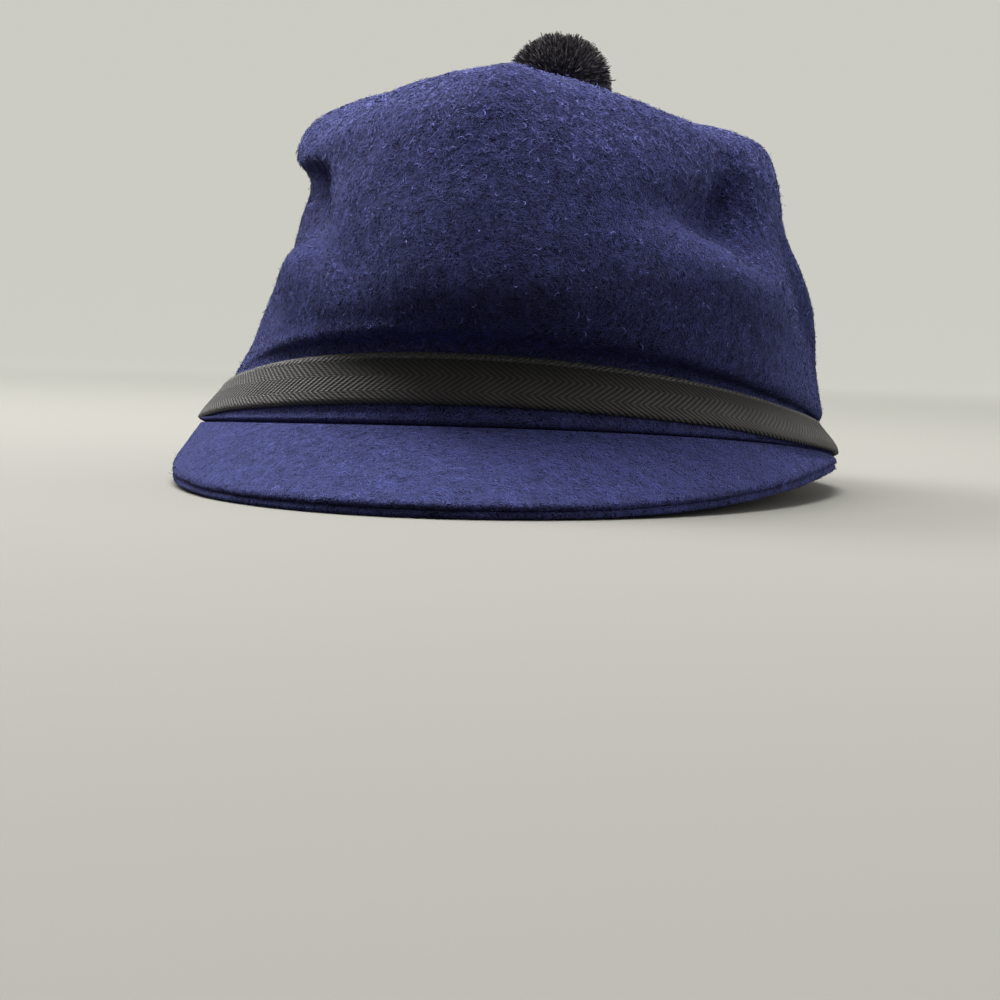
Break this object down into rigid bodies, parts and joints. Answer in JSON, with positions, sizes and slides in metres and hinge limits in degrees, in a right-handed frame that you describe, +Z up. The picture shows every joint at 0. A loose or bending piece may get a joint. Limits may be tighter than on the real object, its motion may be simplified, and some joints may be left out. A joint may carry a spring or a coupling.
{
  "type": "stockman cap",
  "caption": "Soft blue melton cap with a black twill ribbon, a short two-ply visor and a small black wool pompom.",
  "frame": {"origin": "middle of the cap's footprint, on the floor it rests on", "axes": "+Z up, the wearer faces -Y, +X is the wearer's left"},
  "size_m": [0.1752, 0.2326, 0.1249],
  "materials": {
    "melton": "brushed wool melton, royal blue",
    "ribbon": "black herringbone twill",
    "wool": "black wool pile"
  },
  "bodies": {
    "root": {"crown": "melton", "visor_upper_ply": "melton", "visor_under_ply": "melton", "hat_ribbon": "ribbon", "pompom": "wool"}
  },
  "joints": []
}
